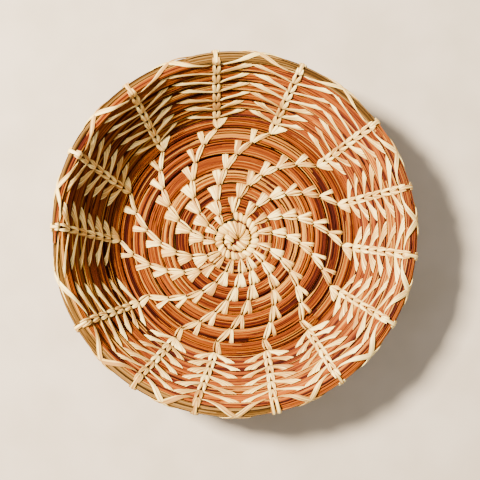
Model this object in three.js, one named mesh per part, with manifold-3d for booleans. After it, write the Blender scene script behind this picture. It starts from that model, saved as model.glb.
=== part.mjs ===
// Coiled pine needle basket: one long bundle of needles wound from a raffia-wrapped
// start into a flat base, a flared wall and a level rim, and sewn with raffia.
// Each row is bound to the one inside it by raffia loops that pass between the rows.
// Millimetres, +Z up, origin on the table under the middle of the rim.
import * as THREE from "three";
import { mergeVertices } from "three/addons/utils/BufferGeometryUtils.js";
import Module from "manifold-3d";

const wasm = await Module();
wasm.setup();

// Raffia
const RAFFIA_THICKNESS = 0.4;
const SEAT_GAP = 0.3; // between the raffia and the needles that it binds
const STEM_WIDTH = 2.4; // the loop that joins a row to the next one
const ARM_WIDTH = 2.6; // the second strand of a stitch in the base
const LEAF_WIDTH = 6.4; // a wall stitch's leaf at its widest, measured along the row

// Wrapped start
const START_PITCH = 5.7;
const START_WIDTH = 5.2;
const START_RINGS = 2;
const START_TIP_SHARE = 0.4; // size of the tip in the middle, of the full section
const START_FLAT_SHARE = 0.6; // of the width that is pressed flat, above and below

// Needle coil
const ROW_PITCH = 10.3; // from row to row, along the bowl's own curve
const COIL_THICKNESS = 9.2; // through the wall
const SHOULDER_SHARE = 0.5; // height at which neighbouring rows part, of half the thickness
const SOLE_CUT = 0.92; // how far the base rows are pressed flat underneath
const FOOT_CUT = 0.2; // how far the base stitches are worn flat where they stand on the table
const COIL_START_DEG = 100; // where bare needles leave the wrapped start
const RIM_START_DEG = 37.6; // where the pale needles of the rim begin
const RIM_END_DEG = 184; // where the tapered end of the coil is tied down
const WHOLE_TURNS = 14; // of needle coil, up to the start angle in the rim
const RIM_TURNS = 14.16; // at which an even spiral would reach the level of the rim
const TAPER_WIDTH = 5; // rows narrower than this grow thin as well

// Bowl
const BASE_TURNS = 6.6; // of needle coil that lie flat, before the wall's part of it starts
const CORNER_RADIUS = 20;
const WALL_SLOPE_DEG = 62.5;
const CLIMB = 6; // how far into the corner the middle of the last flat row goes
const TIGHT_DEG = 135; // the side on which the wall's rows are wound tighter
const TIGHT_SPREAD_DEG = 100; // to both sides of it
const TIGHT_SHARE = 0.064; // of the pitch that is lost there on every row

// Sewing
const SPOKE_DEG = [
  14.5, 37.6, 67.6, 95.8, 126.2, 153.5, 178.4, 211.6, 237, 257.8, 283.4, 305.8, 330, 352.4,
]; // places of the stitch lines at the rim, as sewn by eye
const BASE_LEAN_DEG = [
  7.9, 8.9, 8.9, 9.2, 8.4, 9.5, 8.4, 8.4, 8.1, 7.6, 7.1, 7.0, 7.5, 7.5,
]; // on each line, how far a base stitch stands behind the one inside it
const WALL_LEAN_DEG = 0.42;
const LEAN_LAG = 0.33; // part of a turn from the start of the wall in to where the lines lean
const LEAF_REACH = 0.42; // of the way to the next stitch line
const LEAF_TURNS = 7.3; // of needle coil, before the stitches have leaves
const LEAST_TIED_WIDTH = 2.2; // a narrower end of the coil is tied together with the row below

// Fineness of the mesh
const STEPS_PER_TURN = 27;
const START_STEPS = 24;

const TURN = 2 * Math.PI;
const radians = THREE.MathUtils.degToRad;
const ROW_GAP = RAFFIA_THICKNESS + 2 * SEAT_GAP;
const HALF_COIL = COIL_THICKNESS / 2;
const CORNER_ANGLE = radians(WALL_SLOPE_DEG);
const CORNER_LENGTH = CORNER_RADIUS * CORNER_ANGLE;
const START_RAMP = START_PITCH / ROW_PITCH; // the start steps out as fast as the rows do
const START_TURNS = START_RINGS + START_RAMP;
const CENTRE_HEIGHT = HALF_COIL - SOLE_CUT + SEAT_GAP + RAFFIA_THICKNESS - FOOT_CUT;

// Turns are counted along the needle coil, from its start: whole turns plus a share.
const turnAt = (wholeTurns, degrees) => wholeTurns + (degrees - COIL_START_DEG) / 360;
const RIM_START_TURN = turnAt(WHOLE_TURNS, RIM_START_DEG);
const RIM_END_TURN = turnAt(WHOLE_TURNS, RIM_END_DEG);

// The line between two rows: a spiral that starts at the wrapped button and ends in a level rim.
// On the wall it lags behind on the tight side, more with every row.
const BUTTON_EDGE = START_RINGS * START_PITCH + START_WIDTH / 2 + ROW_GAP / 2;
const spiral = (turn) => BUTTON_EDGE + START_PITCH + ROW_PITCH * (turn - 1);
const RIM_EDGE = spiral(RIM_TURNS);
function tightness(turn) {
  const away = THREE.MathUtils.euclideanModulo(turn - turnAt(0, TIGHT_DEG) + 0.5, 1) - 0.5;
  const share = Math.min(1, Math.abs(away * 360) / TIGHT_SPREAD_DEG);
  return Math.cos((share * Math.PI) / 2) ** 2;
}
function rowLine(turn) {
  const lag = TIGHT_SHARE * ROW_PITCH * Math.max(0, turn - BASE_TURNS) * tightness(turn);
  return THREE.MathUtils.clamp(spiral(turn) - lag, BUTTON_EDGE, RIM_EDGE);
}

// The corner begins under the last flat row.
const FLAT_RADIUS = spiral(BASE_TURNS) + ROW_PITCH / 2 - CLIMB;

// The bowl's curve through the middle of the needles, by the distance s along it from the axis:
// a flat base, a round corner and a straight flared wall. n points into the bowl.
function profile(s) {
  const past = s - FLAT_RADIUS;
  const angle = THREE.MathUtils.clamp(past / CORNER_RADIUS, 0, CORNER_ANGLE);
  const straight = Math.max(0, past - CORNER_LENGTH);
  return {
    r: Math.min(s, FLAT_RADIUS) + CORNER_RADIUS * Math.sin(angle) + straight * Math.cos(angle),
    z: CENTRE_HEIGHT + CORNER_RADIUS * (1 - Math.cos(angle)) + straight * Math.sin(angle),
    nr: -Math.sin(angle),
    nz: Math.cos(angle),
  };
}

// Every piece is drawn on the same many-sided round, so that neighbours keep their gaps.
function chordShare(angle) {
  const step = TURN / STEPS_PER_TURN;
  const within = THREE.MathUtils.euclideanModulo(angle, step);
  return Math.cos(step / 2) / Math.cos(within - step / 2);
}

// A point of the bowl: turn along the coil, s along the bowl's curve, n off it into the bowl.
function place(turn, s, n) {
  const angle = radians(COIL_START_DEG) + turn * TURN;
  const at = profile(s);
  const r = (at.r + n * at.nr) * chordShare(angle);
  return new THREE.Vector3(r * Math.cos(angle), r * Math.sin(angle), at.z + n * at.nz);
}

// The section of a row, grown outwards by a distance: side walls at inner and outer, shoulders
// where the walls end, a crown between them, and a flat sole that the base rows have underneath.
function rowSection(turn, grow = 0) {
  const lower = rowLine(turn);
  const upper = rowLine(turn + 1);
  const half = HALF_COIL * Math.min(1, (upper - lower) / TAPER_WIDTH);
  const shoulder = half * SHOULDER_SHARE;
  const slope = (half - shoulder) / ((upper - lower - ROW_GAP) / 2);
  const lift = grow * Math.hypot(1, slope);
  const crown = half + lift;
  const sole = half - SOLE_CUT + grow;
  return {
    inner: lower + ROW_GAP / 2 - grow,
    outer: upper - ROW_GAP / 2 + grow,
    middle: (lower + upper) / 2,
    shoulder: shoulder + lift - grow * slope,
    crown,
    sole,
    soleReach: (crown - sole) / slope,
  };
}

// Solids from points and triangles, facing out whichever way they were wound
function solid(points, triangles) {
  const make = (order) =>
    new wasm.Manifold(
      new wasm.Mesh({
        numProp: 3,
        vertProperties: new Float32Array(points.flatMap((p) => p.toArray())),
        triVerts: new Uint32Array(triangles.flatMap(order)),
      }),
    );
  const made = make(([a, b, c]) => [a, b, c]);
  return made.volume() > 0 ? made : make(([a, b, c]) => [a, c, b]);
}

// A skin through rings of points, joined into a loop or closed by flat ends
function loft(rings, closed) {
  const sides = rings[0].length;
  const triangles = [];
  const last = closed ? rings.length : rings.length - 1;
  for (let i = 0; i < last; i++) {
    const here = i * sides;
    const next = ((i + 1) % rings.length) * sides;
    for (let k = 0; k < sides; k++) {
      const m = (k + 1) % sides;
      triangles.push([here + k, next + k, next + m], [here + k, next + m, here + m]);
    }
  }
  if (!closed) {
    const end = (rings.length - 1) * sides;
    for (let k = 1; k < sides - 1; k++) {
      triangles.push([0, k, k + 1], [end, end + k + 1, end + k]);
    }
  }
  return solid(rings.flat(), triangles);
}

function geometryOf(made) {
  const mesh = made.getMesh();
  const geometry = new THREE.BufferGeometry();
  geometry.setAttribute("position", new THREE.BufferAttribute(mesh.vertProperties, 3));
  geometry.setIndex(new THREE.BufferAttribute(mesh.triVerts, 1));
  const flat = geometry.toNonIndexed();
  flat.computeVertexNormals();
  return flat;
}

// Turns at which a coil gets a ring: its two ends and every step of the round between them
function ringTurns(from, to) {
  const offset = COIL_START_DEG / 360;
  const turns = [from];
  const first = Math.floor((from + offset) * STEPS_PER_TURN) + 1;
  for (let i = first; i / STEPS_PER_TURN - offset < to; i++) {
    turns.push(i / STEPS_PER_TURN - offset);
  }
  return [...turns, to];
}

// A stretch of needle coil. Base rows lie on a flat sole, wall rows are round on both sides.
function needleRing(turn, flatSole) {
  const c = rowSection(turn);
  const under = flatSole
    ? [
        [c.middle + c.soleReach, -c.sole],
        [c.middle - c.soleReach, -c.sole],
      ]
    : [[c.middle, -c.crown]];
  const outline = [
    [c.inner, c.shoulder],
    [c.middle, c.crown],
    [c.outer, c.shoulder],
    [c.outer, -c.shoulder],
    ...under,
    [c.inner, -c.shoulder],
  ];
  return outline.map(([s, n]) => place(turn, s, n));
}

function needleCoil(from, to, flatSole) {
  const rings = ringTurns(from, to).map((turn) => needleRing(turn, flatSole));
  return loft(rings, false);
}

// The wrapped start: round rings that step outwards, from a thin tip in the middle
function startCentre(turn) {
  const ring = Math.floor(turn);
  const r = START_PITCH * (ring + Math.min(1, (turn - ring) / START_RAMP));
  const angle = radians(COIL_START_DEG) + (turn - START_TURNS) * TURN;
  return new THREE.Vector3(r * Math.cos(angle), r * Math.sin(angle), CENTRE_HEIGHT);
}

function startRing(turn) {
  const nudge = 1e-4;
  const ahead = startCentre(turn).sub(startCentre(turn - nudge)).normalize();
  const across = new THREE.Vector3(ahead.y, -ahead.x, 0);
  const size = THREE.MathUtils.mapLinear(turn, 0, 1.4 * START_RAMP, START_TIP_SHARE, 1);
  const half = (START_WIDTH / 2) * Math.min(1, size);
  const height = CENTRE_HEIGHT * Math.min(1, size);
  const outline = [
    [1, 0],
    [START_FLAT_SHARE, 1],
    [-START_FLAT_SHARE, 1],
    [-1, 0],
    [-START_FLAT_SHARE, -1],
    [START_FLAT_SHARE, -1],
  ];
  return outline.map(([x, z]) => {
    const point = startCentre(turn).addScaledVector(across, x * half);
    point.z += z * height;
    return point;
  });
}

function startCoil() {
  const from = START_RAMP / 3;
  const to = START_TURNS - SEAT_GAP / (TURN * startCentre(START_TURNS - 1e-4).length());
  const count = Math.round((to - from) * START_STEPS);
  const rings = [];
  for (let i = 0; i <= count; i++) {
    rings.push(startRing(THREE.MathUtils.lerp(from, to, i / count)));
  }
  return loft(rings, false);
}

// Places that a strand touches: s along the bowl and n off it, from a row's grown section
const inGap = (edge, way) => (c) => [c[edge], way * c.shoulder];
const onCrown = (way) => (c) => [c.middle, way * c.crown];
const onSole = (out) => (c) => [c.middle + out * c.soleReach, -c.sole];

// A strand's two edges against the needles, and its ridge away from them
function strandEdges(turn, spot, width) {
  const [s, n] = spot(rowSection(turn, SEAT_GAP));
  const half = width / 2 / (TURN * profile(s).r);
  return [place(turn - half, s, n), place(turn + half, s, n)];
}
const strandRidge = (turn, spot) => place(turn, ...spot(rowSection(turn, SEAT_GAP + RAFFIA_THICKNESS)));

// Where a strand comes out between two rows, the higher of their shoulders counts.
function gapShoulder(turn, grow) {
  const below = rowSection(Math.max(turn - 1, 0), grow).shoulder;
  return turn < RIM_END_TURN ? Math.max(below, rowSection(turn, grow).shoulder) : below;
}

// A chain of loops along one stitch line: over each row inside the bowl, back under it outside,
// and through the gap on both sides of it. feet are the turns of the gaps, from the inside out;
// the last loop ends at topTurn, in the gap beyond its row.
function chain(feet, topTurn, flatSole) {
  const points = [];
  const triangles = [];
  const put = (...list) => list.map((p) => points.push(p) - 1);
  const quad = (a, b, c, d) => triangles.push([a, b, c], [a, c, d]);
  const tops = feet.map((foot, i) => (i + 1 < feet.length ? feet[i + 1] : topTurn + 1) - 1);

  // In every gap a post of four corners and, on both faces, a ridge
  const gaps = [...feet, topTurn + 1].map((turn) => {
    const line = rowLine(turn);
    const half = STEM_WIDTH / 2 / (TURN * profile(line).r);
    const face = (way) => {
      const rise = way * gapShoulder(turn, SEAT_GAP);
      const corner = (left, low) =>
        place(turn + left * half, line + (low * RAFFIA_THICKNESS) / 2, rise);
      const [la, ra, lb, rb] = put(corner(-1, -1), corner(1, -1), corner(-1, 1), corner(1, 1));
      const high = way * gapShoulder(turn, SEAT_GAP + RAFFIA_THICKNESS);
      const [ridge] = put(place(turn, line, high));
      return { la, ra, lb, rb, ridge };
    };
    return { inside: face(1), outside: face(-1) };
  });
  gaps.forEach(({ inside, outside }, i) => {
    quad(inside.la, inside.lb, outside.lb, outside.la);
    quad(inside.lb, inside.rb, outside.rb, outside.lb);
    quad(inside.rb, inside.ra, outside.ra, outside.rb);
    quad(inside.ra, inside.la, outside.la, outside.ra);
    for (const [face, turned] of [[inside, false], [outside, true]]) {
      const tri = (a, b, c) => triangles.push(turned ? [a, c, b] : [a, b, c]);
      tri(face.lb, face.la, face.ridge);
      tri(face.ra, face.rb, face.ridge);
      if (i === 0) tri(face.la, face.ra, face.ridge);
      if (i === gaps.length - 1) tri(face.rb, face.lb, face.ridge);
    }
  });

  // Over each row, from gap to gap
  feet.forEach((foot, i) => {
    const middle = (foot + tops[i]) / 2;
    for (const way of [1, -1]) {
      const spots = way < 0 && flatSole ? [onSole(-1), onSole(1)] : [onCrown(way)];
      const face = way > 0 ? "inside" : "outside";
      const rings = spots.map((spot) =>
        put(...strandEdges(middle, spot, STEM_WIDTH), strandRidge(middle, spot)),
      );
      const from = gaps[i][face];
      const to = gaps[i + 1][face];
      const path = [[from.lb, from.rb, from.ridge], ...rings, [to.la, to.ra, to.ridge]];
      for (let k = 0; k + 1 < path.length; k++) {
        const [l, r, top] = path[k];
        const [l2, r2, top2] = path[k + 1];
        const four = (a, b, c, d) => (way > 0 ? quad(a, b, c, d) : quad(a, d, c, b));
        four(l, l2, r2, r);
        four(r, r2, top2, top);
        four(top, top2, l2, l);
      }
    }
  });
  return solid(points, triangles);
}

// A strand across the inside of a row: it leaves the chain in one gap, is widest on the crown
// and dives into the next gap, in a point or square
function strand(foot, tipTurn, bellyWidth, tipWidth) {
  const middle = (foot + tipTurn) / 2;
  const root = place(foot, rowLine(foot), gapShoulder(foot, SEAT_GAP + RAFFIA_THICKNESS / 2));
  const belly = [...strandEdges(middle, onCrown(1), bellyWidth), strandRidge(middle, onCrown(1))];
  const into = inGap("outer", 1);
  if (tipWidth === 0) {
    const [s, n] = into(rowSection(tipTurn, SEAT_GAP + RAFFIA_THICKNESS / 2));
    const points = [root, ...belly, place(tipTurn, s, n)];
    const sides = [[1, 2], [2, 3], [3, 1]];
    return solid(points, sides.flatMap(([a, b]) => [[0, b, a], [4, a, b]]));
  }
  const tip = [...strandEdges(tipTurn, into, tipWidth), strandRidge(tipTurn, into)];
  const sides = [[0, 1], [1, 2], [2, 0]];
  const skin = sides.flatMap(([a, b]) => [
    [0, 1 + b, 1 + a],
    [1 + a, 1 + b, 4 + b],
    [1 + a, 4 + b, 4 + a],
  ]);
  return solid([root, ...belly, ...tip], [...skin, [4, 5, 6]]);
}

// The feet of one stitch line, from the middle of the base to the rim, as turns of the coil.
// The first one stands clear of the place where the wrapped start ends.
const FIRST_FOOT = (STEM_WIDTH / 2 + SEAT_GAP) / (TURN * BUTTON_EDGE);
function spokeFeet(degrees, baseLean) {
  let foot = turnAt(WHOLE_TURNS, degrees);
  while (RIM_EDGE - rowLine(foot) < LEAST_TIED_WIDTH) foot -= 1;
  const feet = [];
  while (foot > FIRST_FOOT) {
    feet.unshift(foot);
    const inBase = foot - 1 < BASE_TURNS - LEAN_LAG;
    foot += (inBase ? baseLean : WALL_LEAN_DEG) / 360 - 1;
  }
  return feet;
}

const join = (pieces) => pieces.reduce((whole, piece) => whole.add(piece));

// Wall stitches: a chain of loops with two pointed leaves on every row, open towards the rim.
// The rows in the corner have no leaves yet, and none goes beyond the end of the coil.
function wallStitch(feet, backward, forward) {
  const leaves = feet.flatMap((foot, i) => {
    if (foot < LEAF_TURNS) return [];
    const top = i + 1 < feet.length ? feet[i + 1] - 1 : foot;
    const tips = [-backward, forward].map((reach) => Math.min(top + reach, RIM_END_TURN));
    return tips.map((tip) => strand(foot, tip, LEAF_WIDTH, 0));
  });
  return join([chain(feet, feet.at(-1), false), ...leaves]);
}

// Base stitches: a leaning chain with one straight strand on every row, flat where it stands.
// The chain's last loop comes up beside the foot of the wall's stitches.
function baseStitch(feet, wallFoot, table) {
  const beside = (STEM_WIDTH + SEAT_GAP) / (TURN * profile(rowLine(wallFoot)).r);
  const arms = feet.map((foot) => strand(foot, foot + beside, ARM_WIDTH, ARM_WIDTH));
  return join([chain(feet, wallFoot + beside - 1, true), ...arms]).subtract(table);
}

// The table's thickness of space under the base, which cuts the standing faces flat
function tableSolid() {
  const depth = COIL_THICKNESS;
  const box = new THREE.BoxGeometry(4 * FLAT_RADIUS, 4 * FLAT_RADIUS, depth);
  box.translate(0, 0, -depth / 2);
  box.deleteAttribute("normal");
  box.deleteAttribute("uv");
  const merged = mergeVertices(box);
  return new wasm.Manifold(
    new wasm.Mesh({
      numProp: 3,
      vertProperties: new Float32Array(merged.attributes.position.array),
      triVerts: new Uint32Array(merged.index.array),
    }),
  );
}

// The least distance between a row and the next one, measured between facing points
function leastRowGap(from, to) {
  let least = Infinity;
  for (const turn of ringTurns(from, to - 1)) {
    const here = rowSection(turn);
    const next = rowSection(turn + 1);
    for (const share of [-1, 0, 1]) {
      const a = place(turn, here.outer, share * here.shoulder);
      const b = place(turn + 1, next.inner, share * next.shoulder);
      least = Math.min(least, a.distanceTo(b));
    }
  }
  return least;
}

// Materials
const needles = new THREE.MeshStandardMaterial({ color: 0xb5602a, roughness: 0.5, metalness: 0 });
const paleNeedles = new THREE.MeshStandardMaterial({ color: 0xb98a45, roughness: 0.5, metalness: 0 });
const raffia = new THREE.MeshStandardMaterial({ color: 0xe6d3ae, roughness: 0.7, metalness: 0 });

// Assembly
const basket = new THREE.Group();
function add(name, made, material) {
  const mesh = new THREE.Mesh(geometryOf(made), material);
  mesh.name = name;
  basket.add(mesh);
}

const endGap = (turn) => SEAT_GAP / 2 / (TURN * profile(rowLine(turn)).r);
const wallFrom = BASE_TURNS + endGap(BASE_TURNS);
const rimFrom = RIM_START_TURN + endGap(RIM_START_TURN);
add("wrapped_start", startCoil(), raffia);
add("base_coil", needleCoil(0, BASE_TURNS - endGap(BASE_TURNS), true), needles);
add("wall_coil", needleCoil(wallFrom, RIM_START_TURN - endGap(RIM_START_TURN), false), needles);
add("rim_coil", needleCoil(rimFrom, RIM_END_TURN, false), paleNeedles);

const table = tableSolid();
SPOKE_DEG.forEach((degrees, i) => {
  const spokes = SPOKE_DEG.length;
  const before = (degrees - SPOKE_DEG[(i + spokes - 1) % spokes] + 360) % 360;
  const after = (SPOKE_DEG[(i + 1) % spokes] - degrees + 360) % 360;
  const feet = spokeFeet(degrees, BASE_LEAN_DEG[i]);
  const wallFeet = feet.filter((foot) => foot >= BASE_TURNS);
  const baseFeet = feet.filter((foot) => foot < BASE_TURNS);
  const number = String(i + 1).padStart(2, "0");
  const wall = wallStitch(wallFeet, (LEAF_REACH * before) / 360, (LEAF_REACH * after) / 360);
  add(`wall_stitch_${number}`, wall, raffia);
  add(`base_stitch_${number}`, baseStitch(baseFeet, wallFeet[0], table), raffia);
});

console.log("least gap between rows of the coil:", leastRowGap(0, RIM_END_TURN).toFixed(2), "mm");

export default basket;
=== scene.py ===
import math

import bpy
import numpy as np
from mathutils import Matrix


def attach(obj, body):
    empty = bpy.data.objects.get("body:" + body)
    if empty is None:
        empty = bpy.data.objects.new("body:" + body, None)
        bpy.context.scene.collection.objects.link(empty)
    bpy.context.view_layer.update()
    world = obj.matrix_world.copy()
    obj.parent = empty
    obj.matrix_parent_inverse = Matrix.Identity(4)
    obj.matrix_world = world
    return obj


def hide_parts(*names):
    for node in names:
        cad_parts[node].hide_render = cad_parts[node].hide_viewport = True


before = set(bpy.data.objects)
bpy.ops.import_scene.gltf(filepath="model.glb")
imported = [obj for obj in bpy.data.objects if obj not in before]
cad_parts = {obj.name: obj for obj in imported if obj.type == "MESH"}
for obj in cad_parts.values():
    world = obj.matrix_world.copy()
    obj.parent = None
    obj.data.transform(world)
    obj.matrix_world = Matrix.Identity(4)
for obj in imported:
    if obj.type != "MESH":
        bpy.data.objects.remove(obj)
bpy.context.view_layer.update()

# Wrapped start
# The first needles, folded small, wound closely round with split raffia and curled into a button.
# Every wrap is pulled tight at its edges and puffs up in the middle. Lengths are in mm up to the floor.
MM = 0.001
COIL_START_DEG = 100
CENTRE_HEIGHT = 4.18
ROW_PITCH = 10.3
START_PITCH = 5.7
START_RAMP = START_PITCH / ROW_PITCH  # part of a turn in which the start steps out to its next ring
START_RINGS = 2
START_TURNS = START_RINGS + START_RAMP
START_STOP = 0.005  # part of a turn left free at the end
START_SAMPLES = 1500
SMALL_TURN = 1e-4
START_HALF_WIDTH = 2.7
WRAP_SIDES = 10
WRAP_STEPS = 4
WRAP_PITCH = 3.5
WRAP_JITTER = 0.35
WRAP_OVERLAP = (1.02, 1.25)  # length of a wrap, of the pitch
WRAP_SLANT = 0.9
SLANT_RANGE = (0.4, 1.6)
WRAP_SQUARENESS = 0.8
WRAP_PUFF = 0.4
PUFF_RANGE = (0.92, 1.04)
TIP_SHARE = 0.55  # height of the tip in the middle, of the full height
TIP_GROWTH = 2
SLIT_FROM = np.array([-2.6, -4])
SLIT_TO = np.array([2.3, 0.8])
SLIT_HALF_GAP = 0.3
FOLD_END_TURN = 1.5  # where the folded loop opens out to an even tube
FOLD_END_SPAN = 0.25
OPEN_SPREAD = 0.55  # how far the outer side then spreads, of its half width
OFF_CENTRE = np.array([0.9, -1.8])  # the middle of the coil lies beside the middle of the rim
OFF_CENTRE_REACH = 60
WRAP_HALF_GIRTH = 4
WRAP_GRAIN_SHIFT = 90
WRAP_GRAIN_STEP = 7
RAFFIA_TONE = -0.56
WRAP_TONE_SPREAD = 0.08
GRAIN_UNIT = 100  # mm of pattern to one unit of the grain map
SMOOTH_DEG = 55
random = np.random.default_rng(11)


def linear(code):
    channels = [int(code[i : i + 2], 16) / 255 for i in (0, 2, 4)]
    return [c / 12.92 if c < 0.04045 else ((c + 0.055) / 1.055) ** 2.4 for c in channels] + [1]


def add_node(material, kind, values, links):
    node = material.node_tree.nodes.new(kind)
    for name, value in values.items():
        if isinstance(name, str) and hasattr(node, name):
            setattr(node, name, value)
        else:
            node.inputs[name].default_value = value
    for name, source in links.items():
        material.node_tree.links.new(source, node.inputs[name])
    return node


def set_ramp(node, stops):
    elements = node.color_ramp.elements
    while len(elements) < len(stops):
        elements.new(0.5)
    for element, (position, code) in zip(elements, stops):
        element.position = position
        element.color = linear(code)


# A dry plant fibre: streaks of the given length and width in mm, added to the tone of each copy, choose
# its colour from the stops and raise its ridges, whose depth is in mm too.
def fibre_material(name, roughness, shine, streak, contrast, stops, ridge, ridge_depth):
    fibre = bpy.data.materials.new(name)
    fibre.use_nodes = True
    shader = fibre.node_tree.nodes["Principled BSDF"]
    shader.inputs["Roughness"].default_value = roughness
    shader.inputs["Specular IOR Level"].default_value = shine
    tone = add_node(fibre, "ShaderNodeAttribute", {"attribute_name": "tone"}, {})
    grain = add_node(fibre, "ShaderNodeUVMap", {"uv_map": "grain"}, {})
    scale = (GRAIN_UNIT / streak[0], GRAIN_UNIT / streak[1], 1)
    drawn = add_node(fibre, "ShaderNodeMapping", {"Scale": scale}, {"Vector": grain.outputs["UV"]})
    noise = {"Scale": 1, "Detail": 3, "Roughness": 0.6}
    streaks = add_node(fibre, "ShaderNodeTexNoise", noise, {"Vector": drawn.outputs["Vector"]})
    sources = {0: streaks.outputs["Fac"], 2: tone.outputs["Fac"]}
    mixed = add_node(fibre, "ShaderNodeMath", {"operation": "MULTIPLY_ADD", 1: contrast}, sources)
    ramp = add_node(fibre, "ShaderNodeValToRGB", {}, {"Fac": mixed.outputs["Value"]})
    set_ramp(ramp, stops)
    relief = {"Strength": ridge, "Distance": ridge_depth * MM}
    bump = add_node(fibre, "ShaderNodeBump", relief, {"Height": streaks.outputs["Fac"]})
    fibre.node_tree.links.new(ramp.outputs["Color"], shader.inputs["Base Color"])
    fibre.node_tree.links.new(bump.outputs["Normal"], shader.inputs["Normal"])
    return fibre


# A rod of one unit along X, with the given sides, drawn out in steps and left open to edits
def draw_rod(sides, steps):
    bpy.ops.object.select_all(action="DESELECT")
    upright = (0, math.pi / 2, 0)
    bpy.ops.mesh.primitive_circle_add(vertices=sides, radius=1, fill_type="NGON", rotation=upright)
    bpy.ops.object.transform_apply(rotation=True)
    bpy.ops.object.mode_set(mode="EDIT")
    bpy.ops.mesh.select_mode(type="VERT")
    bpy.ops.mesh.select_all(action="SELECT")
    for step in range(steps):
        bpy.ops.mesh.extrude_region_move(TRANSFORM_OT_translate={"value": (1 / steps, 0, 0)})


# The points and faces of what was just made, which is then removed. Edits can leave faces in any order,
# so they are sorted.
def take_master(name):
    made = bpy.context.object
    made.name = name
    points = np.array([v.co for v in made.data.vertices])
    faces = sorted(list(p.vertices) for p in made.data.polygons)
    bpy.data.objects.remove(made)
    return points, faces


def take_rod(name):
    bpy.ops.mesh.select_all(action="SELECT")
    bpy.ops.mesh.normals_make_consistent(inside=False)
    bpy.ops.object.mode_set(mode="OBJECT")
    return take_master(name)


# Many copies of a master as one piece. Points and places in the grain are in mm, for each copy's vertices.
def lay_copies(name, faces, points, tones, grain, finish, nodes):
    material, slot = finish
    count, size = points.shape[:2]
    mesh = bpy.data.meshes.new(name)
    every = [[i * size + corner for corner in face] for i in range(count) for face in faces]
    mesh.from_pydata((points * MM).reshape(-1, 3), [], every)
    tone = mesh.attributes.new("tone", "FLOAT", "POINT")
    tone.data.foreach_set("value", np.repeat(tones, size).astype(np.float32))
    corners = np.zeros(len(mesh.loops), dtype=np.int32)
    mesh.loops.foreach_get("vertex_index", corners)
    layer = mesh.uv_layers.new(name="grain")
    layer.data.foreach_set("uv", grain.reshape(-1, 2)[corners].astype(np.float32).ravel() / GRAIN_UNIT)
    mesh.materials.append(material)
    piece = bpy.data.objects.new(name, mesh)
    bpy.context.scene.collection.objects.link(piece)
    bpy.ops.object.select_all(action="DESELECT")
    piece.select_set(True)
    bpy.context.view_layer.objects.active = piece
    bpy.ops.object.shade_smooth_by_angle(angle=math.radians(SMOOTH_DEG))
    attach(piece, "root")
    if nodes:
        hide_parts(*nodes)


# Split raffia: dry palm leaf strips, pale cream and matt, with fine fibres along their length.
# The fibres are about 0.2 mm apart and are drawn at 1.25 mm, so that they show.
RAFFIA_LINE = "a0743a"
RAFFIA_CREAM = "d3ae5c"
RAFFIA_LIGHT = "fff0a4"
split_raffia = fibre_material(
    "split_raffia",
    roughness=0.62,
    shine=0.3,
    streak=(25, 1.25),
    contrast=2.2,
    stops=[(0.25, RAFFIA_LINE), (0.5, RAFFIA_CREAM), (0.8, RAFFIA_LIGHT)],
    ridge=0.6,
    ridge_depth=0.4,
)
raffia = (split_raffia, "raffia")

# One wrap: a short closed sleeve
draw_rod(WRAP_SIDES, WRAP_STEPS)
wrap, wrap_faces = take_rod("wrap")


def start_centre(turn):
    ring = np.floor(turn)
    r = START_PITCH * (ring + np.clip((turn - ring) / START_RAMP, 0, 1))
    angle = np.radians(COIL_START_DEG) + (turn - START_TURNS) * 2 * np.pi
    return np.stack([r * np.cos(angle), r * np.sin(angle)], -1)


start_turns = np.linspace(START_RAMP, START_TURNS - START_STOP, START_SAMPLES)
steps = np.linalg.norm(np.diff(start_centre(start_turns), axis=0), axis=1)
start_lengths = np.concatenate([[0], np.cumsum(steps)])
wraps = round(start_lengths[-1] / WRAP_PITCH)
along = (np.arange(wraps) + 0.5)[:, None] * WRAP_PITCH + random.normal(0, WRAP_JITTER, (wraps, 1))
along = along + (wrap[:, 0] - 0.5) * WRAP_PITCH * random.uniform(*WRAP_OVERLAP, (wraps, 1))
along = along + WRAP_SLANT * wrap[:, 1] * random.uniform(*SLANT_RANGE, (wraps, 1))
turn = np.interp(along, start_lengths, start_turns)
centre = start_centre(turn)
ahead = centre - start_centre(turn - SMALL_TURN)
ahead /= np.linalg.norm(ahead, axis=-1, keepdims=True)
outward = np.stack([ahead[..., 1], -ahead[..., 0]], -1) * START_HALF_WIDTH

# The first loop is folded so tightly that its inner side closes to a slit
slit = SLIT_TO - SLIT_FROM
share = np.clip((centre - SLIT_FROM) @ slit / (slit @ slit), 0, 1)
inward = SLIT_FROM + share[..., None] * slit - centre
inward = inward * (1 - SLIT_HALF_GAP / np.linalg.norm(inward, axis=-1, keepdims=True))
opened = np.clip((turn - FOLD_END_TURN) / FOLD_END_SPAN, 0, 1)[..., None]
inward = inward * (1 - opened) - outward * opened
outward = outward * (1 + OPEN_SPREAD * opened)
puff = 1 - WRAP_PUFF * np.abs(2 * wrap[:, 0] - 1) ** 2
puff = puff * random.uniform(*PUFF_RANGE, (wraps, 1))
tucked = np.clip(TIP_SHARE + TIP_GROWTH * (turn - START_RAMP), 0, 1)
across = np.abs(wrap[:, 1]) ** WRAP_SQUARENESS * puff
rise = np.sign(wrap[:, 2]) * np.abs(wrap[:, 2]) ** WRAP_SQUARENESS * CENTRE_HEIGHT * puff * tucked
flat = centre + across[..., None] * np.where(wrap[:, 1, None] > 0, outward, inward)
flat = flat + OFF_CENTRE * (1 - np.linalg.norm(flat, axis=-1, keepdims=True) / OFF_CENTRE_REACH)
points = np.concatenate([flat, np.maximum(CENTRE_HEIGHT + rise, 0)[..., None]], -1)
girth = WRAP_HALF_GIRTH * wrap[:, 2] + random.uniform(0, WRAP_GRAIN_SHIFT, (wraps, 1))
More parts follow.
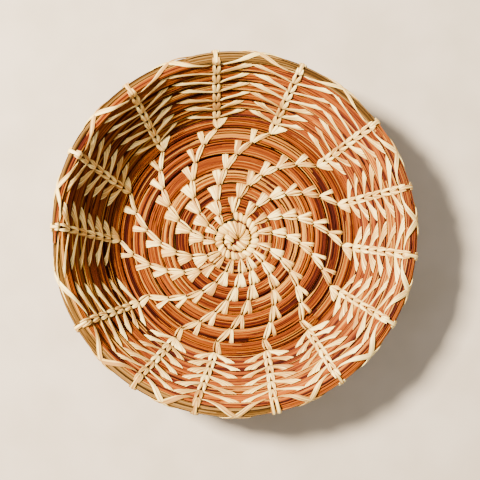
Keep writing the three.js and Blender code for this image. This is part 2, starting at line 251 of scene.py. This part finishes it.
sideways = wrap[:, 0] * WRAP_PITCH + np.arange(wraps)[:, None] * WRAP_GRAIN_STEP
grain_at = np.stack([girth, sideways], -1)
tones = random.normal(RAFFIA_TONE, WRAP_TONE_SPREAD, wraps)
lay_copies("start_wraps", wrap_faces, points, tones, grain_at, raffia, ["wrapped_start"])

# Base coil
# A bundle of long brown pine needles, fed in a few at a time and wound flat in six rows.
# The needles lie side by side, each starting and ending inside the bundle.
HALF_COIL = 4.6
HALF_SOLE = 3.66
ROUNDING = 3.2  # power of the rounded square that is a row's section
ROUND_SPAN = 6  # length of the corner in which the sole turns as round as the top
SOLE_PRESS = 0.5
BUTTON_EDGE = 14.5
FLAT_RADIUS = 77.03
CORNER_RADIUS = 20
WALL_SLOPE = math.radians(62.5)
BASE_TURNS = 6.6
RIM_START_TURN = 13.827
RIM_END_TURN = 14.233
BARE_TOP_TURN = RIM_END_TURN - 1.02  # from here on no row lies on top of this one
RIM_EDGE = 155.75
TIGHT_DEG = 135  # the side on which the wall's rows are wound tighter
TIGHT_SPREAD_DEG = 100
TIGHT_SHARE = 0.064
TAPER_WIDTH = 5
NEEDLE_RADIUS = 0.46
RADIUS_RANGE = (0.85, 1.2)
NEEDLE_LANES = 38
LANE_SAMPLES = 721
LANE_JITTER = 0.3
NEEDLE_SIDES = 4
NEEDLE_STEPS = 14
LONGEST_STEP = 7.5
STEP_SHARE = 0.16  # longest step of a needle, of the radius that it bends round
LENGTH_RANGE = (0.75, 1)
FOLLOW_RANGE = (0.8, 0.95)  # where the next needle of a lane starts, of the length of the last one
EARLY_START = 0.02
SHORTEST_NEEDLE = 0.01
NEEDLE_DRIFT = 0.8  # across the lanes, from end to end
STRAY_SHARE = 0.05
STRAY_DRIFT = 5
SINK_RANGE = (-0.4, 0.15)
TIP_SPAN = 0.1
TIP_SINK = 0.9
HIDDEN_HEIGHT = 0.45  # needles lower in the section than this lie between two rows
UP_WEIGHT = 0.8
NEEDLE_GRAIN_SHIFT = 900
NEEDLE_GRAIN_STEP = 5
SLOW_WAVE = (2.3, 1)  # radians in a turn, and at the start
QUICK_WAVE = (8.2, 4)
MIX_DEPTH = 0.6
MID_TONE = (0.3, 0.13)  # middle and spread
DARK_TONE = (-0.07, 0.08)
PALE_TONE = (0.64, 0.1)
DARK_SHARE = (0.13, 0.18)  # of all needles, and how many more where they are mixed
BASE_PALE_FROM = (0.9, 0.18)
WALL_PALE_FROM = (0.96, 0.14)
HEART_SIDES = 8
HEART_STEPS_PER_TURN = 60
HEART_SHARE = 0.66  # height of the heart, of the bundle's
HEART_INSET = 0.9  # under the bare top of the last row
HEART_SPILL = 0.2  # into the neighbouring row
# painted shade: the heart takes the darkest needle colours, for the inner needles in shade
HEART_SHADE_TONE = -0.15
START_HEART_RADIUS = 14
START_HEART_DEPTH = 1
START_HEART_AT = (0.8, -1.6, 2.5)


# How far the bowl has bent up at the way s along its middle line, and the length of straight wall below
def bowl_bend(s):
    past = s - FLAT_RADIUS
    bend = np.clip(past / CORNER_RADIUS, 0, WALL_SLOPE)
    return bend, np.maximum(0, past - CORNER_RADIUS * WALL_SLOPE)


def bowl_radius(s):
    bend, straight = bowl_bend(s)
    return np.minimum(s, FLAT_RADIUS) + CORNER_RADIUS * np.sin(bend) + straight * np.cos(bend)


# A point of the bowl by its turn of the coil, its way s along the wall's middle line and its height n
# inside that line. What lies lowest is pressed flat where the basket stands.
def bowl_point(turn, s, n):
    bend, straight = bowl_bend(s)
    r = bowl_radius(s) - n * np.sin(bend)
    z = CENTRE_HEIGHT + CORNER_RADIUS * (1 - np.cos(bend)) + straight * np.sin(bend) + n * np.cos(bend)
    z = np.where(z < SOLE_PRESS, SOLE_PRESS * np.exp(np.minimum(z / SOLE_PRESS - 1, 0)), z)
    angle = np.radians(COIL_START_DEG) + turn * 2 * np.pi
    off = np.clip(1 - s / OFF_CENTRE_REACH, 0, 1)
    x = r * np.cos(angle) + OFF_CENTRE[0] * off
    y = r * np.sin(angle) + OFF_CENTRE[1] * off
    return np.stack([x, y, z + 0 * x], -1)


# The line below a row: a spiral that lags behind where the wall is wound tighter and ends in a level rim
def row_edge(turn):
    spiral = BUTTON_EDGE + START_PITCH + ROW_PITCH * (turn - 1)
    away = (turn - (TIGHT_DEG - COIL_START_DEG) / 360 + 0.5) % 1 - 0.5
    tight = np.cos(np.pi / 2 * np.minimum(1, np.abs(away) * 360 / TIGHT_SPREAD_DEG)) ** 2
    lag = TIGHT_SHARE * ROW_PITCH * np.maximum(0, turn - BASE_TURNS) * tight
    return np.clip(spiral - lag, BUTTON_EDGE, RIM_EDGE)


# A row's section: its middle and half width along the bowl, and its half height inside and outside
def row_section(turn):
    lower = row_edge(turn)
    upper = row_edge(turn + 1)
    middle = (lower + upper) / 2
    thin = np.minimum(1, (upper - lower) / TAPER_WIDTH)
    rounder = np.clip((middle - FLAT_RADIUS) / ROUND_SPAN, 0, 1)
    outside = HALF_SOLE + (HALF_COIL - HALF_SOLE) * rounder
    return middle, (upper - lower) / 2, HALF_COIL * thin, outside * thin


def section_point(turn, across, up, off):
    middle, half, inside, outside = row_section(turn)
    s = middle + across * (half + off)
    n = up * (np.where(up > 0, inside, outside) + off)
    return bowl_point(turn, s, n)


def rounded(wave):
    return np.sign(wave) * np.abs(wave) ** (2 / ROUNDING)


# Long pine needles, dried brown: smooth but dull, in colours from purple brown to pale tan that change
# slowly along a needle. Their veins are about 0.2 mm apart and are drawn at 0.8 mm, so that they show.
def needle_material(name, stops):
    return fibre_material(
        name,
        roughness=0.6,
        shine=0.03,
        streak=(50 / 3, 5 / 6),
        contrast=0.55,
        stops=stops,
        ridge=0.2,
        ridge_depth=0.2,
    )


NEEDLE_DARKEST = "1c0905"
NEEDLE_DARK = "481a14"
NEEDLE_MID = "733612"
NEEDLE_BRIGHT = "914c0c"
NEEDLE_PALE = "b68538"
brown_stops = [(0.05, NEEDLE_DARKEST), (0.3, NEEDLE_DARK), (0.52, NEEDLE_MID)]
brown_stops += [(0.72, NEEDLE_BRIGHT), (0.98, NEEDLE_PALE)]
brown_needles = needle_material("brown_pine_needles", brown_stops)
brown = (brown_needles, "needles")

# One needle: a rod with both ends closed to a point
draw_rod(NEEDLE_SIDES, NEEDLE_STEPS)
bpy.ops.mesh.merge(type="CENTER")
bpy.ops.object.mode_set(mode="OBJECT")
for vertex in bpy.context.object.data.vertices:
    vertex.select = vertex.co.x < 0.5 / NEEDLE_STEPS
bpy.ops.object.mode_set(mode="EDIT")
bpy.ops.mesh.merge(type="CENTER")
needle, needle_faces = take_rod("needle")

# Lanes at even steps round the section of a row
lane_angle = np.linspace(0, 2 * np.pi, LANE_SAMPLES)
lane_across = rounded(np.cos(lane_angle))
lane_up = rounded(np.sin(lane_angle))
lane_steps = np.hypot(np.diff(lane_across) * ROW_PITCH / 2, np.diff(lane_up) * HALF_COIL)
lane_share = np.concatenate([[0], np.cumsum(lane_steps)]) / np.sum(lane_steps)


# The lanes may be limited by their place round the section, from about -1.8 at its inner foot to 1.8 at
# its outer top.
def wind_needles(name, start, end, finish, shade, nodes, lowest=-2, highest=2):
    placed = []
    for lane in range(NEEDLE_LANES):
        turn = start + random.uniform(-EARLY_START, 0)
        while turn < end:
            r = bowl_radius(row_section(turn)[0])
            length = NEEDLE_STEPS * min(LONGEST_STEP, STEP_SHARE * r) * random.uniform(*LENGTH_RANGE)
            stop = min(turn + length / (2 * np.pi * r), end)
            share = (lane + random.uniform(-LANE_JITTER, LANE_JITTER)) / NEEDLE_LANES
            across = np.interp(share % 1, lane_share, lane_across)
            up = np.interp(share % 1, lane_share, lane_up)
            hidden = abs(up) < HIDDEN_HEIGHT and (across < 0 or turn < BARE_TOP_TURN)
            place = across - UP_WEIGHT * up
            hidden = hidden or place < lowest or place > highest
            if not hidden and stop - turn > SHORTEST_NEEDLE:
                drift = random.uniform(-NEEDLE_DRIFT, NEEDLE_DRIFT)
                drift *= STRAY_DRIFT if random.uniform() < STRAY_SHARE else 1
                placed.append((turn, stop, share, drift / NEEDLE_LANES))
            turn += length * random.uniform(*FOLLOW_RANGE) / (2 * np.pi * r)
    first, last, share, drift = np.array(placed).T[:, :, None]
    count = len(placed)
    x = needle[:, 0]
    turn = first + (last - first) * x
    share = (share + drift * (x - 0.5)) % 1
    across = np.interp(share, lane_share, lane_across)
    up = np.interp(share, lane_share, lane_up)
    ends = np.clip(np.minimum(x, 1 - x) / TIP_SPAN, 0, 1)
    thick = NEEDLE_RADIUS * random.uniform(*RADIUS_RANGE, (count, 1))
    off = -thick - TIP_SINK * (1 - ends) + random.uniform(*SINK_RANGE, (count, 1))
    middle, half, inside, outside = row_section(turn)
    s = middle + across * (half + off) + needle[:, 1] * thick
    n = up * (np.where(up > 0, inside, outside) + off) + needle[:, 2] * thick
    points = bowl_point(turn, s, n)
    tones = shade(count, first[:, 0])
    length = (last - first) * 2 * np.pi * bowl_radius(middle)
    along = x * length + random.uniform(0, NEEDLE_GRAIN_SHIFT, (count, 1))
    sideways = needle[:, 1] + NEEDLE_GRAIN_STEP * np.arange(count)[:, None]
    lay_copies(name, needle_faces, points, tones, np.stack([along, sideways], -1), finish, nodes)


# Stretches of even needles take turns with stretches of mixed dark and pale ones
def mixed_tones(count, first):
    slow = np.sin(SLOW_WAVE[0] * first + SLOW_WAVE[1])
    quick = np.sin(QUICK_WAVE[0] * first + QUICK_WAVE[1])
    mixed = np.clip(0.5 + MIX_DEPTH * (slow + quick), 0, 1)
    kind = random.uniform(0, 1, count)
    tones = random.normal(*MID_TONE, count)
    darker = kind < DARK_SHARE[0] + DARK_SHARE[1] * mixed
    tones = np.where(darker, random.normal(*DARK_TONE, count), tones)
    base_from = BASE_PALE_FROM[0] - BASE_PALE_FROM[1] * mixed
    wall_from = WALL_PALE_FROM[0] - WALL_PALE_FROM[1] * mixed
    paler = kind > np.where(first < BASE_TURNS, base_from, wall_from)
    return np.where(paler, random.normal(*PALE_TONE, count), tones)


# The heart of the bundle: a closed bar under the needles of one stretch of coil, kept dark as painted shade
# for the shaded inner needles that show between the outer ones
def needle_heart(name, start, end, finish):
    count = int((end - start) * HEART_STEPS_PER_TURN) + 1
    turn = np.linspace(start, end, count)[:, None]
    angle = np.linspace(0, 2 * np.pi, HEART_SIDES + 1)[:HEART_SIDES]
    across = rounded(np.cos(angle)) * np.ones_like(turn)
    up = rounded(np.sin(angle)) * np.ones_like(turn)
    middle, half, inside, outside = row_section(turn)
    bare = (across > 0) & (turn > BARE_TOP_TURN)
    s = middle + across * (half + np.where(bare, -HEART_INSET, HEART_SPILL))
    n = up * np.where(up > 0, inside, outside) * HEART_SHARE
    points = bowl_point(turn * np.ones_like(across), s, n).reshape(1, -1, 3)
    faces = []
    for i in range(count - 1):
        near = i * HEART_SIDES
        far = near + HEART_SIDES
        for k in range(HEART_SIDES):
            m = (k + 1) % HEART_SIDES
            faces.append([near + k, near + m, far + m, far + k])
    faces.append([HEART_SIDES - 1 - k for k in range(HEART_SIDES)])
    faces.append([(count - 1) * HEART_SIDES + k for k in range(HEART_SIDES)])
    grain_at = np.zeros((1, points.shape[1], 2))
    lay_copies(name, faces, points, np.array([HEART_SHADE_TONE]), grain_at, finish, [])


# What the wraps of the start are wound on: needles, which have no tone of their own and so show dark. The
# dark is painted shade in the gaps between the wraps.
bpy.ops.object.select_all(action="DESELECT")
bpy.ops.mesh.primitive_cylinder_add(
    vertices=32,
    radius=START_HEART_RADIUS * MM,
    depth=START_HEART_DEPTH * MM,
    location=[place * MM for place in START_HEART_AT],
)
bpy.ops.object.transform_apply(location=True)
start_heart = bpy.context.object
start_heart.name = "start_heart"
start_heart.data.materials.append(brown_needles)
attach(start_heart, "root")
wind_needles("base_needles", 0, BASE_TURNS, brown, mixed_tones, ["base_coil"])
needle_heart("base_heart", 0, BASE_TURNS, brown)

# Wall coil
# The same bundle wound on, row upon row, round the corner and up the flared wall.
# Each row rests on the one below it and is held there by the sewing alone.
WALL_HALFWAY = 10.2
TAIL_TURN = RIM_END_TURN - 1
GOLD_END_TURN = 13.51
GOLD_TAIL = 0.1  # lanes placed above this, along the tail, are of golden needles
wind_needles("wall_needles_low", BASE_TURNS, WALL_HALFWAY, brown, mixed_tones, ["wall_coil"])
wind_needles("wall_needles_high", WALL_HALFWAY, TAIL_TURN, brown, mixed_tones, [])
wind_needles("wall_needles_tail", TAIL_TURN, GOLD_END_TURN, brown, mixed_tones, [], highest=GOLD_TAIL)
wind_needles("wall_needles_top", GOLD_END_TURN, RIM_START_TURN, brown, mixed_tones, [])
needle_heart("wall_heart", BASE_TURNS, RIM_START_TURN, brown)

# Rim
# The last stretch of the bundle, of golden needles, which tapers to nothing along the top row.
# Its ends are tied down under the raffia that goes over the edge.
TAPER_TURN = 14.02
GOLD_TAPER = 0.9  # lanes placed above this, along the taper, are of golden needles
TAPER_DARKER = 0.16
GOLD_DARK = "231407"
GOLD_MID = "4a3212"
GOLD_BRIGHT = "6e4f22"
GOLD_PALE = "86693b"
gold_stops = [(0.1, GOLD_DARK), (0.45, GOLD_MID), (0.7, GOLD_BRIGHT), (0.95, GOLD_PALE)]
golden = (needle_material("golden_pine_needles", gold_stops), "pale_needles")


# Where the end tapers, the brown needles on its inner side are drawn darker
def taper_tones(count, first):
    return mixed_tones(count, first) - TAPER_DARKER


wind_needles("rim_needles", RIM_START_TURN, TAPER_TURN, golden, mixed_tones, ["rim_coil"])
wind_needles("rim_needles_taper", TAPER_TURN, RIM_END_TURN, golden, mixed_tones, [], lowest=GOLD_TAPER)
wind_needles("wall_needles_taper", TAPER_TURN, RIM_END_TURN, brown, taper_tones, [], highest=GOLD_TAPER)
needle_heart("rim_heart", RIM_START_TURN, RIM_END_TURN, golden)
wind_needles("rim_needles_end", TAIL_TURN, GOLD_END_TURN, golden, mixed_tones, [], lowest=GOLD_TAIL)

# Base stitches
# Split raffia sewn through the gap below each row, over the row and down into the next gap.
# At every foot three strands open: a broad one straight out, and two that lean to the next foot.
SPOKE_DEG = [14.5, 37.6, 67.6, 95.8, 126.2, 153.5, 178.4, 211.6, 237, 257.8, 283.4, 305.8, 330, 352.4]
BASE_LEAN_DEG = [7.6, 8.6, 8.6, 8.9, 8.1, 9.2, 8.1, 8.1, 7.8, 7.3, 6.8, 6.7, 7.2, 7.2]
WALL_LEAN_DEG = 0.42
LEAN_LAG = 0.33
WHOLE_TURNS = 14
LEAST_TIED_WIDTH = 2.2
FIRST_FOOT = 0.016
RAFFIA_THICKNESS = 0.35
STRAND_CROWN = 0.35
STRAND_TONE_SPREAD = 0.11
STRIP_STEPS = 8
GAP_REACH = 0.975  # how far round a row a strand goes, where 1 is the middle of the gap
EDGE_WAVER = 0.07
WAVER_ALONG = 9
WAVER_SHIFT = 40
BLADE_OPENING = 0.6
GRAIN_SHIFT = 37
GRAIN_LOOP = 50
GRAIN_STEP = 11
FOOT_SPREAD = 0.9
BROAD_SHARE = [0.7, 0.95, 1, 1, 1, 1, 0.8, 0.75, 0.7, 0.65, 0.6, 0.6, 0.6, 0.65]
BROAD_ROOT = [(20, 1.2), (28, 2.8), (38, 2.2), (50, 1.5)]  # by the radius at which the stitch stands
BROAD_CUT = [(20, 2.6), (27, 7.4), (38, 6.2), (50, 5), (62, 4.6)]
BROAD_OPENING = [(27, 0.85), (45, 0.45)]
BROAD_CUT_RANGE = (0.85, 1.1)
BROAD_LEAST_CUT = 2.6
BROAD_END_RANGE = (-0.8, 0.6)
BROAD_CLEARANCE = 1.6
BROAD_LIFT = 0.05
AHEAD_ROOT = 0.8
AHEAD_BELLY = (2, 2.6)
AHEAD_TIP = 0.9
AHEAD_END = 1.5
AHEAD_BOW = 0.5
AHEAD_LIFT = 0.3
BEHIND_ENDS = 0.7
BEHIND_BELLY = (1.1, 1.5)
BEHIND_END = -0.2
BEHIND_BOW = -0.9
BEHIND_LIFT = 0.15


# One strand: a flat strip, two faces wide, given its thickness
def make_strip(name, steps):
    bpy.ops.object.select_all(action="DESELECT")
    bpy.ops.mesh.primitive_grid_add(x_subdivisions=steps, y_subdivisions=2, size=2)
    solidify = bpy.context.object.modifiers.new("thickness", "SOLIDIFY")
    solidify.thickness = 1
    solidify.offset = 1
    bpy.ops.object.modifier_apply(modifier=solidify.name)
    points, faces = take_master(name)
    return (points[:, 0] + 1) / 2, points[:, 1], points[:, 2] - points[:, 2].min(), faces


strip_along, strip_side, strip_up, strip_faces = make_strip("strip", STRIP_STEPS)


# The feet of one stitch line, from the middle of the base to the rim, as turns of the coil
def spoke_feet(degrees, lean):
    foot = WHOLE_TURNS + (degrees - COIL_START_DEG) / 360
    while RIM_EDGE - row_edge(foot) < LEAST_TIED_WIDTH:
        foot -= 1
    feet = []
    while foot > FIRST_FOOT:
        feet.insert(0, foot)
        in_base = foot - 1 < BASE_TURNS - LEAN_LAG
        foot += (lean if in_base else WALL_LEAN_DEG) / 360 - 1
    return feet


# Widths along a strand that swells in its middle, one that opens straight to its cut end, and one that
# opens early like a blade
def lens(u, root, belly, tip):
    ends = np.where(u < 0.5, root, tip)
    return ends + (belly - ends) * np.sin(np.pi * u)


def fan(u, root, cut, early):
    return root + (cut - root) * u**early


def blade(u, root, cut):
    return root + (cut - root) * np.sin(np.pi / 2 * u) ** BLADE_OPENING


def by_radius(r, pairs):
    return np.interp(r, *zip(*pairs))


# Every strand shows a stretch of its own of the fibre pattern
def strand_grain(run, sideways, turn):
    return np.stack([run + GRAIN_SHIFT * turn % GRAIN_LOOP, sideways + GRAIN_STEP * turn], -1)


# A strand across one row, from the gap below it, at across -1, to the gap above, at across 1.
# side is 1 inside the bowl and -1 outside, and shifts and widths along the row are in mm.
def strand_across(turn, shift_from, shift_to, bow, width, side, lift, begin=-GAP_REACH, upto=GAP_REACH):
    u = strip_along
    r = bowl_radius(row_section(np.array(turn))[0])
    uneven = 1 + EDGE_WAVER * np.sin(WAVER_ALONG * u + WAVER_SHIFT * turn)
    shift = shift_from + (shift_to - shift_from) * u + bow * 4 * u * (1 - u)
    shift = shift + strip_side * width * uneven / 2
    at = turn + shift / (2 * np.pi * r)
    across = begin + (upto - begin) * u
    up = side * (1 - np.abs(across) ** ROUNDING) ** (1 / ROUNDING)
    off = lift + STRAND_CROWN * (1 - strip_side**2) + strip_up * RAFFIA_THICKNESS
    points = section_point(at, across, up, off)
    run = np.hypot(ROW_PITCH, shift_to - shift_from) * u
    return points, strand_grain(run, strip_side * width / 2, turn)


def sew(name, faces, strands, nodes):
    points = np.array([points for points, grain_at in strands])
    grain_at = np.array([grain_at for points, grain_at in strands])
    tones = random.normal(RAFFIA_TONE, STRAND_TONE_SPREAD, len(strands))
    lay_copies(name, faces, points, tones, grain_at, raffia, nodes)


stitch_lines = [spoke_feet(degrees, lean) for degrees, lean in zip(SPOKE_DEG, BASE_LEAN_DEG)]
for i, feet in enumerate(stitch_lines):
    strands = []
    for k, foot in enumerate(feet):
        if foot >= BASE_TURNS:
            break
        r = float(bowl_radius(row_section(np.array(foot))[0]))
        lean = (feet[k + 1] - 1 - foot) * 2 * np.pi * r
        slant = math.hypot(1, lean / ROW_PITCH)
        for side in (1, -1):
            root = by_radius(r, BROAD_ROOT) * BROAD_SHARE[i]
            cut = by_radius(r, BROAD_CUT) * random.uniform(*BROAD_CUT_RANGE)
            cut = max(cut * BROAD_SHARE[i], BROAD_LEAST_CUT)
            end = max(random.uniform(*BROAD_END_RANGE), lean + cut / 2 + BROAD_CLEARANCE)
            broad = fan(strip_along, root, cut, by_radius(r, BROAD_OPENING))
            strands.append(strand_across(foot, FOOT_SPREAD, end, 0, broad, side, BROAD_LIFT))
            leaf = lens(strip_along, AHEAD_ROOT, random.uniform(*AHEAD_BELLY) * slant, AHEAD_TIP)
            strands.append(strand_across(foot, 0, lean + AHEAD_END, AHEAD_BOW, leaf, side, AHEAD_LIFT))
            edge = lens(strip_along, BEHIND_ENDS, random.uniform(*BEHIND_BELLY) * slant, BEHIND_ENDS)
            edge_end = lean + BEHIND_END
            strands.append(strand_across(foot, -FOOT_SPREAD, edge_end, BEHIND_BOW, edge, side, BEHIND_LIFT))
    number = f"{i + 1:02d}"
    sew(f"base_raffia_{number}", strip_faces, strands, [f"base_stitch_{number}"])

# Wall stitches
# Raffia fern stitches: at every foot two plump strands go up the spine and two leaves reach along the row.
# The leaves of the top row go over the edge and down outside, and a tie over the rim ends each line.
LEAF_TURNS = 7.3  # of needle coil, before the stitches have leaves on both sides
LEAF_SHARE = 0.38  # reach of a leaf, of the way to the next stitch line
BACK_GROWTH = 0.06  # how much more of it towards the rim
AHEAD_GROWTH = 0.12
LEAF_SWEEP = 1.12
LEAF_DIP = 0.2  # the leaves are shorter round one side of the basket
SHORT_LEAF_DEG = 172
SHORT_LEAF_SPREAD = 30
REACH_RANGE = (0.9, 1.12)
CORNER_REACH_DEG = 6.2
LEAF_FOOT = 1.2
LEAF_ROOT = 1.5
LEAF_CUT_RANGE = (5.8, 9.8)
LEAF_CUT_SHARE = 0.65
LEAF_SPAN = (-0.72, 0.88)
LEAF_LIFT = 0.1
TOP_LEAF_ENDS = 3
TOP_LEAF_BELLY = (5.2, 6.4)
TOP_LEAF_LIFT = 0.2
ARM_ROOT = 0.8
ARM_BELLY = (2.7, 3.2)
ARM_THINNING = 0.3
ARM_TIP = 1
ARM_FOOT = 0.4
ARM_SPREAD = 1.85
ARM_BOW = 0.3
ARM_BEGIN = -0.8
ARM_LIFT = 0.3
TIE_ROOT = 1.8
TIE_BELLY = (2, 2.9)
TIE_TIP = 1.9
TIE_SPAN = (0.3, 0.94)
TIE_LIFT = 0.5
DOUBLE_TIE = 10  # the stitch line that ends in two ties
DOUBLE_TIE_SHIFT = 1.7
OVER_STEPS = 16
OVER_FROM = 0.46  # share of the way round a row at which a strand over the edge starts
OVER_SPAN = 0.92
OVER_LENGTH = 30
HALF_GONE = 0.6  # share of its way round at which it has gone half its way along the row
over_along, over_side, over_up, over_faces = make_strip("long_strip", OVER_STEPS)


# A strand over the edge of the top row, from the gap below it inside to the same gap outside
def strand_over(turn, shift_from, shift_to, width, lift, begin=0, upto=1):
    u = begin + over_along * (upto - begin)
    r = bowl_radius(row_section(np.array(turn))[0])
    gone = np.interp(u, [0, HALF_GONE, 1], [0, 0.5, 1])
    shift = shift_from + (shift_to - shift_from) * gone + over_side * width / 2
    at = turn + shift / (2 * np.pi * r)
    share = (OVER_FROM - OVER_SPAN * u) % 1
    across = np.interp(share, lane_share, lane_across)
    up = np.interp(share, lane_share, lane_up)
    off = lift + STRAND_CROWN * (1 - over_side**2) + over_up * RAFFIA_THICKNESS
    points = section_point(at, across, up, off)
    return points, strand_grain(u * OVER_LENGTH, over_side * width / 2, turn)


for i, feet in enumerate(stitch_lines):
    before = (SPOKE_DEG[i] - SPOKE_DEG[i - 1]) % 360
    after = (SPOKE_DEG[(i + 1) % len(SPOKE_DEG)] - SPOKE_DEG[i]) % 360
    shorter = math.exp(-(((SPOKE_DEG[i] - SHORT_LEAF_DEG) / SHORT_LEAF_SPREAD) ** 2))
    sweep = LEAF_SWEEP - LEAF_DIP * shorter
    wall_feet = [foot for foot in feet if foot >= BASE_TURNS]
    strands = []
    over = []
    for k, foot in enumerate(wall_feet):
        top = k + 1 == len(wall_feet)
        r = float(bowl_radius(row_section(np.array(foot))[0]))
        climb = k / (len(wall_feet) - 1)
        lean = 0 if top else (wall_feet[k + 1] - 1 - foot) * 2 * np.pi * r
        for way, room, growth in ((-1, before, BACK_GROWTH), (1, after, AHEAD_GROWTH)):
            reach = room * sweep * (LEAF_SHARE + growth * climb)
            if foot < LEAF_TURNS:
                reach = CORNER_REACH_DEG if way < 0 else 0
            if top:
                leaf = lens(over_along, TOP_LEAF_ENDS, random.uniform(*TOP_LEAF_BELLY), TOP_LEAF_ENDS)
                tip = way * math.radians(room) * r
                over.append(strand_over(foot, LEAF_FOOT * way, tip, leaf, TOP_LEAF_LIFT))
            for side in (1, -1):
                if reach and not top:
                    cut = min(random.uniform(*LEAF_CUT_RANGE), LEAF_CUT_SHARE * math.radians(reach) * r)
                    leaf = blade(strip_along, LEAF_ROOT, cut)
                    tip = way * (math.radians(reach * random.uniform(*REACH_RANGE)) * r - cut / 2)
                    strands.append(
                        strand_across(foot, LEAF_FOOT * way, tip, 0, leaf, side, LEAF_LIFT, *LEAF_SPAN)
                    )
                belly = random.uniform(*ARM_BELLY) - ARM_THINNING * climb
                arm = lens(strip_along, ARM_ROOT, belly, ARM_TIP)
                arm_end = lean + ARM_SPREAD * way
                arm_foot = ARM_FOOT * way
                arm_bow = ARM_BOW * way
                strands.append(
                    strand_across(foot, arm_foot, arm_end, arm_bow, arm, side, ARM_LIFT, ARM_BEGIN)
                )
    for shift in [-DOUBLE_TIE_SHIFT, DOUBLE_TIE_SHIFT] if i == DOUBLE_TIE else [0]:
        tie = lens(over_along, TIE_ROOT, random.uniform(*TIE_BELLY), TIE_TIP)
        over.append(strand_over(wall_feet[-1], shift, shift, tie, TIE_LIFT, *TIE_SPAN))
    number = f"{i + 1:02d}"
    sew(f"wall_raffia_{number}", strip_faces, strands, [f"wall_stitch_{number}"])
    sew(f"rim_raffia_{number}", over_faces, over, [])

# Sewing holes
# Where the sewing needle went through the gap at every foot, a small pit stays open. A pit is narrow and
# deep and lies in shade, so its shade is painted: it is drawn as a dark plug that ends just below the
# strands.
PIT_RADIUS = 0.7
WALL_PIT_RADIUS = 1.15
PIT_TOP = 4.5
PIT_DEPTH = 2
PIT_INSET = 0.3
# painted shade: the plugs take the darkest needle colours
PIT_SHADE_TONE = -0.2
bpy.ops.object.select_all(action="DESELECT")
bpy.ops.mesh.primitive_cone_add(vertices=7, radius1=0, radius2=1, depth=1, location=(0, 0, -0.5))
bpy.ops.object.transform_apply(location=True)
pit, pit_faces = take_master("pit")
pit_foot = np.array([foot for feet in stitch_lines for foot in feet[1:]])[:, None]
pit_edge = row_edge(pit_foot)
pit_radius = np.where(pit_foot > LEAF_TURNS, WALL_PIT_RADIUS, PIT_RADIUS)
pit_turn = pit_foot + pit[:, 0] * pit_radius / (2 * np.pi * bowl_radius(pit_edge))
pit_way = pit_edge - PIT_INSET + pit[:, 1] * pit_radius
points = bowl_point(pit_turn, pit_way, PIT_TOP + pit[:, 2] * PIT_DEPTH)
grain_at = np.zeros(points.shape[:2] + (2,))
tones = np.full(len(points), PIT_SHADE_TONE)
lay_copies("sewing_holes", pit_faces, points, tones, grain_at, brown, [])

# Floor
# A plain pale ground, matt, with the faintest mottling about 40 mm wide.
# From here on lengths are in metres.
FLOOR_RADIUS = 3
FLOOR_PALE = "beb9b1"
FLOOR_SHADE = "b5b0a6"
MOTTLE_WIDTH = 0.04
bpy.ops.object.select_all(action="DESELECT")
bpy.ops.mesh.primitive_circle_add(vertices=96, radius=FLOOR_RADIUS, fill_type="NGON")
floor = bpy.context.object
floor.name = "floor"
board = bpy.data.materials.new("matt_painted_board")
board.use_nodes = True
shader = board.node_tree.nodes["Principled BSDF"]
shader.inputs["Roughness"].default_value = 0.8
place = add_node(board, "ShaderNodeTexCoord", {}, {})
spots = {"Scale": 1 / MOTTLE_WIDTH, "Detail": 2}
mottle = add_node(board, "ShaderNodeTexNoise", spots, {"Vector": place.outputs["Object"]})
ramp = add_node(board, "ShaderNodeValToRGB", {}, {"Fac": mottle.outputs["Fac"]})
set_ramp(ramp, [(0.35, FLOOR_SHADE), (0.65, FLOOR_PALE)])
board.node_tree.links.new(ramp.outputs["Color"], shader.inputs["Base Color"])
floor.data.materials.append(board)

# Light
# A soft key from the upper left, low enough to shade the near wall, and an even pale fill all round.
KEY_AT = (-0.8, 0.34, 1.25)
KEY_SIZE = 0.25
KEY_WATTS = 143
KEY_COLOUR = "ffe9cc"
FILL_COLOUR = "fff0df"
FILL_STRENGTH = 0.71
bpy.ops.object.light_add(type="AREA", location=KEY_AT)
key = bpy.context.object
key.name = "key_light"
key.data.size = KEY_SIZE
key.data.energy = KEY_WATTS
key.data.color = linear(KEY_COLOUR)[:3]
key.rotation_euler = (-key.location).to_track_quat("-Z", "Y").to_euler()
world = bpy.data.worlds.new("studio")
world.use_nodes = True
world.node_tree.nodes["Background"].inputs["Color"].default_value = linear(FILL_COLOUR)
world.node_tree.nodes["Background"].inputs["Strength"].default_value = FILL_STRENGTH
bpy.context.scene.world = world

# Camera
# Almost straight above, a little towards the lower edge of the picture.
CAMERA_OVER = (0.0043, -0.0052, 0.06)
CAMERA_DISTANCE = 0.7
CAMERA_LEAN = 0.045
camera_y = CAMERA_OVER[1] - CAMERA_LEAN
bpy.ops.object.camera_add(location=(CAMERA_OVER[0], camera_y, CAMERA_OVER[2] + CAMERA_DISTANCE))
camera = bpy.context.object
camera.rotation_euler = (math.atan2(CAMERA_LEAN, CAMERA_DISTANCE), 0, 0)
camera.data.sensor_width = 36
camera.data.lens = 77.6
camera.data.clip_start = 0.01
bpy.context.scene.camera = camera
